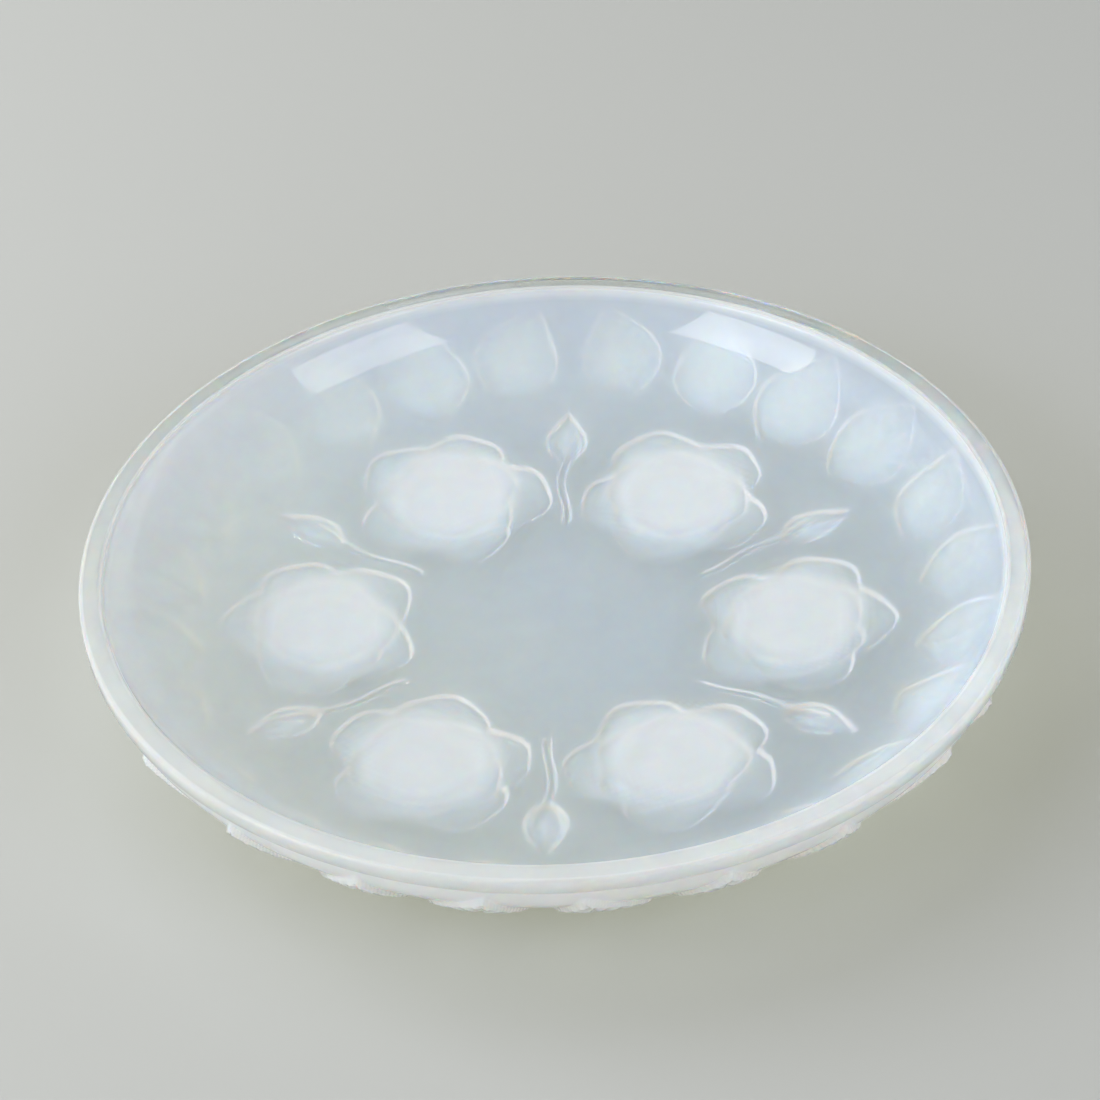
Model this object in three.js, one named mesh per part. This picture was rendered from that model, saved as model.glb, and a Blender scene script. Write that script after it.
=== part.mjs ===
// Shallow press-moulded glass bowl with a wreath of roses, leaves and buds in relief under it.
// Millimetres, +Z up. The origin is the middle of the plane that the bowl stands on.
import * as THREE from 'three';
import { mergeVertices } from 'three/addons/utils/BufferGeometryUtils.js';

const degrees = THREE.MathUtils.degToRad;

// Dish
const RIM_RADIUS = 175;
const RIM_WIDTH = 8.5;
const RIM_EASE = 0.8;
const COLLAR_HEIGHT = 5.5;
const COLLAR_LEDGE = 1.5;
const INSIDE_DEPTH = 36;
const GLASS_THICKNESS = 7;
const WALL_SWELL = 2.5;
const WALL_CURVE_RADIUS = 45;
const FLOOR_SLOPE = degrees(5);
const FOOT_HEIGHT = 8;
const DISH_SIDES = 72;
const FLOOR_STEPS = 5;
const WALL_STEPS = 9;

// Wreath
const ROSE_COUNT = 6;
const ROSE_GAP = 8;
const WREATH_TURN = degrees(-4);
const SEAT_GAP = 0.3;
const EDGE_RISE = 1.2;

// Rose, with the reach of its layers as shares of its own radius
const PETAL_COUNT = 5;
const PETAL_SCALLOP = 0.15;
const SPOKES_PER_PETAL = 6;
const ROSE_TURN = degrees(50);
const CROWN_CUT = 1.4;
const CROWN_SHARE = 0.24;
const HEART_SHARE = 0.45;
const HEART_RISE = 8.2;
const INNER_PETAL_SHARE = 0.72;
const INNER_PETAL_RISE = 6;
const OUTER_PETAL_RISE = 3;
const LAYER_STEP_SHARE = 0.04;

// Leaf
const LEAVES_PER_ROSE = 4;
const LEAF_LENGTH = 50;
const LEAF_SHORTEST = 44;
const LEAF_RISE = 3.4;
const LEAF_FULLNESS = 0.8;
const LEAF_TILT = degrees(13);
const LEAF_WANDER = degrees(8);
const LEAF_GAP = 4;
const LEAF_SIDE_GAP = 2.5;
const LEAF_MARGIN = 3;
const MIDRIB_DEPTH = 0.9;
const LEAF_STEPS = 8;
const LEAF_COLUMNS = 4;
// Two waves that run from leaf to leaf and make them unlike, in their length and in their tilt
const LEAF_LENGTH_WAVE = degrees(76);
const LEAF_TILT_WAVE = degrees(127);

// Bud and its stem
const BUD_LENGTH = 31;
const BUD_WIDTH = 17;
const BUD_RISE = 4.4;
const BUD_FULLNESS = 0.75;
const BUD_STEPS = 6;
const STEM_LENGTH = 34;
const STEM_WIDTH = 2.8;
const STEM_RISE = 1.6;
const STEM_SWAY = 1.5;
const STEM_STEPS = 8;
const STEM_COLUMNS = 2;

// The inside meets the rim's inner edge on one arc, which leaves the floor at FLOOR_SLOPE.
// The floor itself is a very flat arc from the axis. The underside is the inside's offset, and its
// wall stands WALL_SWELL further out, so that the wall is thicker than the floor.
const insideRimRadius = RIM_RADIUS - RIM_WIDTH;
const rimHeight = FOOT_HEIGHT + GLASS_THICKNESS + INSIDE_DEPTH;
const floorRadius = insideRimRadius - wallSpan();
const floorCurve = floorRadius / Math.sin(FLOOR_SLOPE) + GLASS_THICKNESS;
const wallCurve = WALL_CURVE_RADIUS + GLASS_THICKNESS;
const floorMiddle = new THREE.Vector2(0, FOOT_HEIGHT + floorCurve);
const swollenSlope = Math.asin(Math.sin(FLOOR_SLOPE) + WALL_SWELL / (floorCurve - wallCurve));
const insideFace = faceOf(FLOOR_SLOPE, GLASS_THICKNESS);
const underFace = faceOf(swollenSlope, 0);
const ledgeFoot = rimHeight - COLLAR_HEIGHT - COLLAR_LEDGE;
const wallEndSlope = Math.acos((underFace.wallMiddle.y - ledgeFoot) / wallCurve);
const insideEndSlope = Math.acos((insideFace.wallMiddle.y - rimHeight) / WALL_CURVE_RADIUS);
const floorLength = floorCurve * swollenSlope;
const undersideLength = floorLength + wallCurve * (wallEndSlope - swollenSlope);

// One face of the dish: the slope at which its wall leaves the floor, and the wall arc's middle.
function faceOf(floorSlope, inset) {
  const spare = floorCurve - wallCurve;
  const wallMiddle = new THREE.Vector2(
    spare * Math.sin(floorSlope),
    floorMiddle.y - spare * Math.cos(floorSlope),
  );
  return { floorSlope, wallMiddle, inset };
}

// Width in plan of the wall's arc, from the floor's edge to the rim's inner edge.
function wallSpan() {
  const rise = Math.tan(FLOOR_SLOPE / 2);
  const height = INSIDE_DEPTH - insideRimRadius * rise;
  const across = WALL_CURVE_RADIUS * Math.sin(FLOOR_SLOPE);
  const below = height - WALL_CURVE_RADIUS * Math.cos(FLOOR_SLOPE);
  const a = 1 + rise ** 2;
  const b = across + rise * below;
  const c = across ** 2 + below ** 2 - WALL_CURVE_RADIUS ** 2;
  return (-b + Math.sqrt(b ** 2 - a * c)) / a;
}

// Point of a face's profile where it slopes at the given angle.
function profilePoint(face, slope) {
  const onFloor = slope <= face.floorSlope;
  const middle = onFloor ? floorMiddle : face.wallMiddle;
  const curve = (onFloor ? floorCurve : wallCurve) - face.inset;
  return new THREE.Vector2(middle.x + curve * Math.sin(slope), middle.y - curve * Math.cos(slope));
}

// Slope of the underside at a length along its profile, measured from the axis.
function slopeAt(length) {
  if (length <= floorLength) return length / floorCurve;
  return swollenSlope + (length - floorLength) / wallCurve;
}

// Points of a face's profile, evenly spaced over the floor and then the wall, from the axis outwards.
function profilePoints(face, endSlope) {
  const slopes = [];
  for (let i = 0; i < FLOOR_STEPS; i += 1) slopes.push((face.floorSlope * i) / FLOOR_STEPS);
  for (let i = 0; i <= WALL_STEPS; i += 1) {
    slopes.push(face.floorSlope + ((endSlope - face.floorSlope) * i) / WALL_STEPS);
  }
  return slopes.map((slope) => profilePoint(face, slope));
}

// Turned form of the dish: underside, ledge, collar, rim face and inside, from axis to axis.
function dishGeometry() {
  const underside = profilePoints(underFace, wallEndSlope);
  const rim = [
    new THREE.Vector2(RIM_RADIUS, rimHeight - COLLAR_HEIGHT),
    new THREE.Vector2(RIM_RADIUS, rimHeight - RIM_EASE),
    new THREE.Vector2(RIM_RADIUS - RIM_EASE, rimHeight),
  ];
  const inside = profilePoints(insideFace, insideEndSlope);
  const outline = [...underside, ...rim, ...inside.reverse()];
  const geometry = new THREE.LatheGeometry(outline, DISH_SIDES);
  geometry.rotateX(Math.PI / 2);
  return tidy(geometry);
}

// Point under the dish. A motif is drawn on the underside rolled out flat, with distances from the
// axis kept: along and across run from the motif's own middle, and lift is the way out of the glass.
function undersidePoint(plot, along, across, lift) {
  const flat = new THREE.Vector2(plot.length, 0);
  flat.add(new THREE.Vector2(along, across).rotateAround(new THREE.Vector2(), plot.tilt));
  const slope = slopeAt(flat.length());
  const angle = plot.angle + Math.atan2(flat.y, flat.x);
  const base = profilePoint(underFace, slope);
  const radius = base.x + lift * Math.sin(slope);
  const height = Math.max(0, base.y - lift * Math.cos(slope));
  return [radius * Math.cos(angle), radius * Math.sin(angle), height];
}

// Joins equal vertices and drops the triangles that have no area left.
function tidy(geometry) {
  geometry.deleteAttribute('normal');
  geometry.deleteAttribute('uv');
  const merged = mergeVertices(geometry);
  const kept = [];
  const index = merged.getIndex();
  for (let i = 0; i < index.count; i += 3) {
    const corners = [index.getX(i), index.getX(i + 1), index.getX(i + 2)];
    if (new Set(corners).size === 3) kept.push(...corners);
  }
  merged.setIndex(kept);
  merged.computeVertexNormals();
  return merged;
}

// Closed solid of one motif. Each row holds points { along, across, rise }. The seat face lies
// SEAT_GAP under the dish, the relief face lies under that. Ringed rows go round the motif's
// middle, and other rows cross it.
function motifGeometry(plot, reliefRows, seatRows, ringed) {
  const positions = [];
  const triangles = [];
  const columns = reliefRows[0].length;

  function addFace(rows, raised, turned) {
    const first = positions.length / 3;
    for (const point of rows.flat()) {
      const lift = SEAT_GAP + (raised ? point.rise : 0);
      positions.push(...undersidePoint(plot, point.along, point.across, lift));
    }
    for (let row = 0; row + 1 < rows.length; row += 1) {
      for (let column = 0; column < (ringed ? columns : columns - 1); column += 1) {
        const next = (column + 1) % columns;
        const corners = [
          first + row * columns + column,
          first + row * columns + next,
          first + (row + 1) * columns + next,
          first + (row + 1) * columns + column,
        ];
        addQuad(turned ? corners.reverse() : corners);
      }
    }
    return borderOf(first, rows.length);
  }

  function addQuad([a, b, c, d]) {
    triangles.push(a, b, c, a, c, d);
  }

  function borderOf(first, rowCount) {
    const last = first + (rowCount - 1) * columns;
    const row = (start) => Array.from({ length: columns }, (_, column) => start + column);
    if (ringed) return row(last);
    const side = (column) =>
      Array.from({ length: rowCount - 2 }, (_, step) => first + (step + 1) * columns + column);
    return [...row(last), ...side(columns - 1).reverse(), ...row(first).reverse(), ...side(0)];
  }

  const seat = addFace(seatRows, false, true);
  const relief = addFace(reliefRows, true, false);
  seat.forEach((corner, i) => {
    const next = (i + 1) % seat.length;
    addQuad([relief[i], relief[next], seat[next], corner]);
  });

  const geometry = new THREE.BufferGeometry();
  geometry.setAttribute('position', new THREE.Float32BufferAttribute(positions, 3));
  geometry.setIndex(triangles);
  return tidy(geometry);
}

// Rose: outer petals, inner petals and a heart, each a step up, with a flat crown. The inner petals
// lie over the gaps between the outer ones.
function roseGeometry(plot, radius) {
  const halfPetal = Math.PI / PETAL_COUNT;
  const crownRise = profilePoint(underFace, slopeAt(plot.length)).y + CROWN_CUT;
  const layers = [
    { share: 0, rise: crownRise, scallop: 0, turn: 0 },
    { share: CROWN_SHARE, rise: crownRise, scallop: 0, turn: 0 },
    { share: HEART_SHARE, rise: HEART_RISE, scallop: 0, turn: 0 },
    { share: HEART_SHARE + LAYER_STEP_SHARE, rise: INNER_PETAL_RISE, scallop: 0, turn: 0 },
    { share: INNER_PETAL_SHARE, rise: INNER_PETAL_RISE, scallop: PETAL_SCALLOP, turn: halfPetal },
    {
      share: INNER_PETAL_SHARE + LAYER_STEP_SHARE,
      rise: OUTER_PETAL_RISE,
      scallop: PETAL_SCALLOP,
      turn: halfPetal,
    },
    { share: 1 - LAYER_STEP_SHARE, rise: OUTER_PETAL_RISE, scallop: PETAL_SCALLOP, turn: 0 },
    { share: 1, rise: EDGE_RISE, scallop: PETAL_SCALLOP, turn: 0 },
  ];
  const spokes = PETAL_COUNT * SPOKES_PER_PETAL;
  const rows = layers.map((layer) =>
    Array.from({ length: spokes }, (_, spoke) => {
      const turn = (2 * Math.PI * spoke) / spokes;
      const notch = 1 - Math.abs(Math.cos((PETAL_COUNT * (turn - layer.turn)) / 2));
      const reach = radius * layer.share * (1 - layer.scallop * notch);
      return { along: reach * Math.cos(turn), across: reach * Math.sin(turn), rise: layer.rise };
    }),
  );
  const seatRows = [rows[0], rows[Math.floor(rows.length / 2)], rows[rows.length - 1]];
  return motifGeometry(plot, rows, seatRows, true);
}

// Length of one leaf, between LEAF_SHORTEST and LEAF_LENGTH.
function lengthOfLeaf(leaf) {
  const share = (1 + Math.cos(LEAF_LENGTH_WAVE * leaf)) / 2;
  return LEAF_SHORTEST + (LEAF_LENGTH - LEAF_SHORTEST) * share;
}

// Pointed leaf, highest beside its sunk midrib. Its width follows its length.
function leafGeometry(plot, length) {
  const width = (leafWidth * length) / LEAF_LENGTH;
  const rows = blade(length, width, LEAF_FULLNESS, LEAF_STEPS, LEAF_COLUMNS, (side) => {
    const sunk = side === 0 ? MIDRIB_DEPTH : 0;
    return domeRise(LEAF_RISE, side) - sunk;
  });
  return motifGeometry(plot, rows, rows, false);
}

// Drop-shaped bud with a domed back.
function budGeometry(plot) {
  const rows = blade(BUD_LENGTH, BUD_WIDTH, BUD_FULLNESS, BUD_STEPS, LEAF_COLUMNS,
    (side) => domeRise(BUD_RISE, side));
  return motifGeometry(plot, rows, rows, false);
}

// Height across a dome, from EDGE_RISE at its sides to the given rise in its middle.
function domeRise(rise, side) {
  return EDGE_RISE + (rise - EDGE_RISE) * (1 - side ** 2);
}

// Rows across a blade that is pointed at both ends, with its middle at the plot's middle.
function blade(length, width, fullness, steps, columns, riseAt) {
  return Array.from({ length: steps + 1 }, (_, step) => {
    const share = step / steps;
    const half = (width / 2) * Math.sin(Math.PI * share ** fullness);
    return Array.from({ length: columns + 1 }, (_, column) => {
      const side = (2 * column) / columns - 1;
      const along = length * (share - 0.5);
      return { along, across: half * side, rise: riseAt(side) };
    });
  });
}

// Thin swaying stem with a rounded back, square at its ends.
function stemGeometry(plot, swayAt) {
  const rows = Array.from({ length: STEM_STEPS + 1 }, (_, step) => {
    const along = STEM_LENGTH * (step / STEM_STEPS - 0.5);
    return Array.from({ length: STEM_COLUMNS + 1 }, (_, column) => {
      const side = (2 * column) / STEM_COLUMNS - 1;
      const across = swayAt(along) + (side * STEM_WIDTH) / 2;
      return { along, across, rise: domeRise(STEM_RISE, side) };
    });
  });
  return motifGeometry(plot, rows, rows, false);
}

// Places on the underside. The leaves stand side by side and end under the collar. The roses fill
// a ring inside the longest leaves, each as wide as its neighbours and ROSE_GAP leave room for. The
// buds fill the corners between two roses and the leaves.
const halfSector = Math.PI / ROSE_COUNT;
const leafTip = undersideLength - LEAF_MARGIN;
const leafMiddle = leafTip - LEAF_LENGTH / 2;
const leafPitch = (2 * halfSector) / LEAVES_PER_ROSE;
const leafWidth = leafPitch * profilePoint(underFace, slopeAt(leafMiddle)).x - LEAF_SIDE_GAP;
const roseReach = leafTip - LEAF_LENGTH - LEAF_GAP;
const roseRing = (roseReach + ROSE_GAP / 2) / (1 + Math.sin(halfSector));
const roseRadius = roseReach - roseRing;
const narrowest = roseRing * Math.cos(halfSector);
const budBase = roseReach - BUD_LENGTH;
const budMiddle = budBase + BUD_LENGTH / 2;
const stemMiddle = budBase - SEAT_GAP - STEM_LENGTH / 2;

const glass = new THREE.MeshStandardMaterial({
  color: 0xdce6ea,
  roughness: 0.08,
  metalness: 0,
  transparent: true,
  opacity: 0.6,
});

const bowl = new THREE.Group();

function addPart(name, geometry) {
  const mesh = new THREE.Mesh(geometry, glass.clone());
  mesh.name = name;
  bowl.add(mesh);
}

// A stem keeps to the middle where the roses are closest, and sways between there and its bud.
function stemSway(along) {
  const away = stemMiddle + along - narrowest;
  return STEM_SWAY * Math.sin((Math.PI * away) / (budBase - narrowest));
}

addPart('dish', dishGeometry());
for (let i = 0; i < ROSE_COUNT; i += 1) {
  const angle = WREATH_TURN + 2 * halfSector * i;
  const number = i + 1;
  const rosePlot = { length: roseRing, angle, tilt: ROSE_TURN * i };
  addPart(`rose_${number}`, roseGeometry(rosePlot, roseRadius));
  for (let j = 0; j < LEAVES_PER_ROSE; j += 1) {
    const place = j - (LEAVES_PER_ROSE - 1) / 2;
    const leaf = i * LEAVES_PER_ROSE + j;
    const length = lengthOfLeaf(leaf);
    const leafPlot = {
      length: leafTip - length / 2,
      angle: angle + place * leafPitch,
      tilt: place * LEAF_TILT + LEAF_WANDER * Math.sin(LEAF_TILT_WAVE * leaf),
    };
    addPart(`leaf_${leaf + 1}`, leafGeometry(leafPlot, length));
  }
  const between = angle + halfSector;
  addPart(`bud_${number}`, budGeometry({ length: budMiddle, angle: between, tilt: 0 }));
  addPart(`stem_${number}`, stemGeometry({ length: stemMiddle, angle: between, tilt: 0 }, stemSway));
}

export default bowl;
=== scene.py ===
"""Looks of a press-moulded opalescent glass bowl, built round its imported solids.

The bowl is one closed glass mesh: a smooth inside, a flat rim, and an underside whose roses,
leaves and buds are a height field over the dish's own surface, as a press mould leaves them.
"""

import logging
import math
from dataclasses import dataclass, field, fields
from enum import Enum

import bpy
import numpy as np
from mathutils import Matrix, Vector


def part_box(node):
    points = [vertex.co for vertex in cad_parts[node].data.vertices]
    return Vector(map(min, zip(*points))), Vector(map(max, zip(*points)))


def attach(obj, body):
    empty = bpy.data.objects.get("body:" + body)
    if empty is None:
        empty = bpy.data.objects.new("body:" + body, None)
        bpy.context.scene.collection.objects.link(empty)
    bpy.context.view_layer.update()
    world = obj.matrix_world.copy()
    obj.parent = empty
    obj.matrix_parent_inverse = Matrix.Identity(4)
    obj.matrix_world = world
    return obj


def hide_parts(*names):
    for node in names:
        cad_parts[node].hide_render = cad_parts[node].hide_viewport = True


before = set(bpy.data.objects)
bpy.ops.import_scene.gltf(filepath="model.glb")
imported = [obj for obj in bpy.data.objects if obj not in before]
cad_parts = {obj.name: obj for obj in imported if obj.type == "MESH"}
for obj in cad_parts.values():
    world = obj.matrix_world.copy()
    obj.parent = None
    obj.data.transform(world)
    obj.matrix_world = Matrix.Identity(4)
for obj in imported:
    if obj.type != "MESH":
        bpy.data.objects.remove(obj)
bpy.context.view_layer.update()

MM = 0.001
TINY = 1e-6
PIECE_NAME = "opalescent_bowl"

log = logging.getLogger("glass_bowl")
Array = np.ndarray


def linear(hex_colour: str) -> tuple[float, float, float, float]:
    """Turn an sRGB colour into the linear one that shaders take.

    Args:
        hex_colour: Six hex digits, with or without a leading hash.

    Returns:
        Red, green, blue and an alpha of 1.
    """
    digits = hex_colour.lstrip("#")
    channels = [int(digits[i : i + 2], 16) / 255 for i in (0, 2, 4)]
    red, green, blue = [c / 12.92 if c <= 0.04045 else ((c + 0.055) / 1.055) ** 2.4 for c in channels]
    return red, green, blue, 1.0


def ramp(distance: Array | float, width: float) -> Array:
    """Rise smoothly from 0 at an edge to 1 at a width inside it.

    Args:
        distance: How far inside the edge each point lies, in millimetres.
        width: Width of the slope, in millimetres.

    Returns:
        A share from 0 to 1 for each point.
    """
    share = np.clip(distance / width, 0, 1)
    return share * share * (3 - 2 * share)


def add_node(tree: bpy.types.NodeTree, kind: str, settings: dict | None = None, **links) -> bpy.types.Node:
    """Add a shader node, set it up and link its inputs.

    Inputs go by their identifiers, in lower case and with underscores.

    Args:
        tree: Node tree that gets the node.
        kind: Blender's name of the node type.
        settings: Values for the node's own attributes and for its inputs, by name.
        **links: Output sockets that feed the node's inputs, by name.

    Returns:
        The new node.
    """
    node = tree.nodes.new(kind)
    inputs = {socket.identifier.lower().replace(" ", "_"): socket for socket in node.inputs}
    for name, value in (settings or {}).items():
        if name in inputs:
            inputs[name].default_value = value
        else:
            setattr(node, name, value)
    for name, output in links.items():
        tree.links.new(output, inputs[name])
    return node


class Face(Enum):
    """The two faces of the dish, each with the middle of its disc on the flat map."""

    UNDER = 0.25
    INSIDE = 0.75


class Finish(Enum):
    """Number of each finish on the bowl's mesh."""

    MOULDED = 0
    RIM = 1
    INSIDE = 2


@dataclass(frozen=True)
class DishProfile:
    """Meridian of the dish, in millimetres, from the axis outwards.

    The floor is a very flat arc and the wall one arc that leaves it at the floor's end slope. The underside
    is the inside's offset, with its wall further out by the swell.
    """

    rim_radius: float
    rim_height: float
    rim_width: float = 8.5
    rim_outer_round: float = 1.2
    rim_inner_round: float = 0.7
    collar_height: float = 5.5
    collar_ledge: float = 1.5
    inside_depth: float = 36.0
    glass_thickness: float = 7.0
    wall_swell: float = 2.5
    wall_curve_radius: float = 45.0
    inside_floor_slope: float = math.radians(5)

    @property
    def foot_height(self) -> float:
        """Height of the middle of the underside over the table."""
        return self.rim_height - self.inside_depth - self.glass_thickness

    @property
    def inside_rim_radius(self) -> float:
        """Radius of the rim's inner edge."""
        return self.rim_radius - self.rim_width

    @property
    def wall_span(self) -> float:
        """Find the width in plan of the wall's arc on the inside.

        The arc leaves the floor at the floor's end slope and passes through the rim's inner edge.

        Returns:
            The width in millimetres.
        """
        rise = math.tan(self.inside_floor_slope / 2)
        height = self.inside_depth - self.inside_rim_radius * rise
        across = self.wall_curve_radius * math.sin(self.inside_floor_slope)
        below = height - self.wall_curve_radius * math.cos(self.inside_floor_slope)
        a = 1 + rise**2
        b = across + rise * below
        c = across**2 + below**2 - self.wall_curve_radius**2
        return (-b + math.sqrt(b**2 - a * c)) / a

    @property
    def floor_curve(self) -> float:
        """Radius of the floor's arc on the underside."""
        floor_radius = self.inside_rim_radius - self.wall_span
        return floor_radius / math.sin(self.inside_floor_slope) + self.glass_thickness

    @property
    def wall_curve(self) -> float:
        """Radius of the wall's arc on the underside."""
        return self.wall_curve_radius + self.glass_thickness

    def floor_slope(self, face: Face) -> float:
        """Find the slope at which a face's wall leaves its floor.

        Args:
            face: Which face of the dish.

        Returns:
            The slope in radians.
        """
        if face is Face.INSIDE:
            return self.inside_floor_slope
        spare = self.floor_curve - self.wall_curve
        return math.asin(math.sin(self.inside_floor_slope) + self.wall_swell / spare)

    def wall_middle(self, face: Face) -> tuple[float, float]:
        """Find the middle of a face's wall arc.

        Args:
            face: Which face of the dish.

        Returns:
            Its radius and height in millimetres.
        """
        spare = self.floor_curve - self.wall_curve
        slope = self.floor_slope(face)
        height = self.foot_height + self.floor_curve - spare * math.cos(slope)
        return spare * math.sin(slope), height

    @property
    def floor_length(self) -> float:
        """Length of the floor's arc on the underside."""
        return self.floor_curve * self.floor_slope(Face.UNDER)

    @property
    def ledge_slope(self) -> float:
        """Slope of the underside where the ledge under the collar starts."""
        ledge_foot = self.rim_height - self.collar_height - self.collar_ledge
        return math.acos((self.wall_middle(Face.UNDER)[1] - ledge_foot) / self.wall_curve)

    @property
    def inside_end_slope(self) -> float:
        """Slope of the inside where it meets the rim's inner edge."""
        return math.acos((self.wall_middle(Face.INSIDE)[1] - self.rim_height) / self.wall_curve_radius)

    @property
    def underside_length(self) -> float:
        """Length of the underside from the axis to the ledge."""
        return self.floor_length + self.wall_curve * (self.ledge_slope - self.floor_slope(Face.UNDER))

    def slope_at(self, length: Array) -> Array:
        """Give the underside's slope at lengths along it from the axis."""
        on_wall = self.floor_slope(Face.UNDER) + (length - self.floor_length) / self.wall_curve
        return np.where(length <= self.floor_length, length / self.floor_curve, on_wall)

    def point(self, face: Face, slope: Array) -> tuple[Array, Array]:
        """Find points of a face's profile by their slope.

        Args:
            face: Which face of the dish.
            slope: Slopes in radians.

        Returns:
            Radius and height of each point.
        """
        inset = self.glass_thickness if face is Face.INSIDE else 0.0
        on_floor = slope <= self.floor_slope(face)
        wall_radius, wall_height = self.wall_middle(face)
        middle_radius = np.where(on_floor, 0, wall_radius)
        middle_height = np.where(on_floor, self.foot_height + self.floor_curve, wall_height)
        curve = np.where(on_floor, self.floor_curve, self.wall_curve) - inset
        return middle_radius + curve * np.sin(slope), middle_height - curve * np.cos(slope)

    def under(self, length: Array) -> tuple[Array, Array]:
        """Give radius and height of the underside at lengths along it from the axis."""
        return self.point(Face.UNDER, self.slope_at(length))


@dataclass(frozen=True)
class PetalRing:
    """One ring of overlapping round petals.

    Middle and reach, the place and radius of a petal, are shares of the rose's radius, and so are vary and
    ruffle of the petal's. Height, lean, lip, edge and lip_width are in millimetres. The phases set each petal
    a little apart from the others.
    """

    count: int
    turn: float
    middle: float
    reach: float
    height: float
    lean: float
    lip: float
    edge: float = 1.3
    lip_width: float = 2.4
    vary: float = 0.05
    wander: float = 0.1
    ruffle: float = 0.035
    ruffle_count: int = 5
    petal_phase: float = 2.4
    rose_phase: float = 1.7
    wander_phase: float = 1.9

    def rise(self, along: Array, across: Array, radius: float, number: int) -> Array:
        """Give the ring's height over the glass.

        Args:
            along: Distance from the rose's middle in its own direction, in millimetres.
            across: Distance to the side.
            radius: The rose's radius, in millimetres.
            number: Number of the rose, which sets how its petals differ from the next rose's.

        Returns:
            Height of the ring's petals at each point, 0 outside them.
        """
        best = np.zeros_like(along)
        for petal in range(self.count):
            phase = self.petal_phase * petal + self.rose_phase * number
            stray = self.wander * math.sin(self.wander_phase * phase)
            turn = self.turn + 2 * math.pi * petal / self.count + stray
            petal_radius = self.reach * radius * (1 + self.vary * math.sin(phase))
            out = along * math.cos(turn) + across * math.sin(turn) - self.middle * radius
            side = across * math.cos(turn) - along * math.sin(turn)
            wave = self.ruffle * np.cos(self.ruffle_count * np.arctan2(side, out) + phase)
            inside = petal_radius * (1 - self.ruffle + wave) - np.hypot(out, side)
            lip = self.lip * np.exp(-((inside / self.lip_width) ** 2))
            face = self.height + self.lean * side / petal_radius + lip
            best = np.maximum(best, face * ramp(inside, self.edge))
        return best


@dataclass(frozen=True)
class Rose:
    """Thick blossom: three rings of petals, each drifted a little further, and a dome that is flat on top.

    The dome's flat top, at the height of the table, comes from the cut that the bowl makes there.
    """

    radius: float
    crown_rise: float
    number: int
    heart_share: float = 0.45
    heart_rise: float = 8.2
    drift: float = 2.5
    drift_turn: float = 2.3
    rings: tuple[PetalRing, ...] = (
        PetalRing(count=5, turn=0.0, middle=0.52, reach=0.46, height=2.7, lean=0.7, lip=0.5),
        PetalRing(count=5, turn=math.pi / 5, middle=0.31, reach=0.41, height=5.8, lean=0.6, lip=0.4),
        PetalRing(count=3, turn=0.4, middle=0.17, reach=0.31, height=8.0, lean=0.5, lip=0.3),
    )

    @property
    def reach(self) -> float:
        """Distance from the middle beyond which the motif is flat."""
        return self.radius

    def rise(self, along: Array, across: Array) -> Array:
        """Give the rose's height over the glass.

        Args:
            along: Distance from the rose's middle in its own direction, in millimetres.
            across: Distance to the side.

        Returns:
            Height of the rose at each point.
        """
        best = np.zeros_like(along)
        way = self.drift_turn * self.number
        for order, ring in enumerate(self.rings):
            shift = self.drift * order / len(self.rings)
            aside = along - shift * math.cos(way), across - shift * math.sin(way)
            best = np.maximum(best, ring.rise(*aside, self.radius, self.number))
        out = np.hypot(along, across) / (self.heart_share * self.radius)
        dome = self.crown_rise - (self.crown_rise - self.heart_rise) * out**2
        return np.where(out < 1, np.maximum(best, dome), best)


@dataclass(frozen=True)
class Blade:
    """Pointed leaf-like motif: a dome between two curved edges, with a midrib, side veins and teeth.

    Sizes are in millimetres. A fullness below 1 moves the widest place towards the base.
    """

    length: float
    width: float
    peak: float
    fullness: float = 0.8
    edge_rise: float = 1.4
    edge: float = 1.2
    midrib_depth: float = 0.0
    midrib_width: float = 1.1
    vein_rise: float = 0.0
    vein_pitch: float = 7.0
    vein_width: float = 0.9
    vein_lean: float = 0.8
    teeth: int = 0
    tooth_depth: float = 0.35

    @property
    def reach(self) -> float:
        """Distance from the middle beyond which the motif is flat."""
        return self.length / 2

    def rise(self, along: Array, across: Array) -> Array:
        """Give the blade's height over the glass.

        Args:
            along: Distance from the blade's middle towards its tip, in millimetres.
            across: Distance to the side.

        Returns:
            Height of the blade at each point, 0 outside its edges.
        """
        share = np.clip(along / self.length + 0.5, TINY, 1)
        bow = math.pi * share**self.fullness
        half = self.width / 2 * np.sin(bow)
        bow_rate = math.pi * self.fullness * share ** (self.fullness - 1)
        splay = self.width / (2 * self.length) * np.cos(bow) * bow_rate
        if self.teeth:
            half = half - self.tooth_depth * np.sin(bow) * ((share * self.teeth) % 1)
        inside = (half - np.abs(across)) / np.hypot(1, splay)
        side = np.clip(across / np.maximum(half, TINY), -1, 1)
        face = self.edge_rise + (self.peak - self.edge_rise) * (1 - side**2)
        face = face - self.midrib_depth * np.exp(-((across / self.midrib_width) ** 2))
        if self.vein_rise:
            along_vein = (along - self.vein_lean * np.abs(across)) % self.vein_pitch - self.vein_pitch / 2
            ridge = np.exp(-((along_vein / self.vein_width) ** 2)) * (1 - side**4)
            face = face + self.vein_rise * ridge
        return face * ramp(inside, self.edge)


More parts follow.
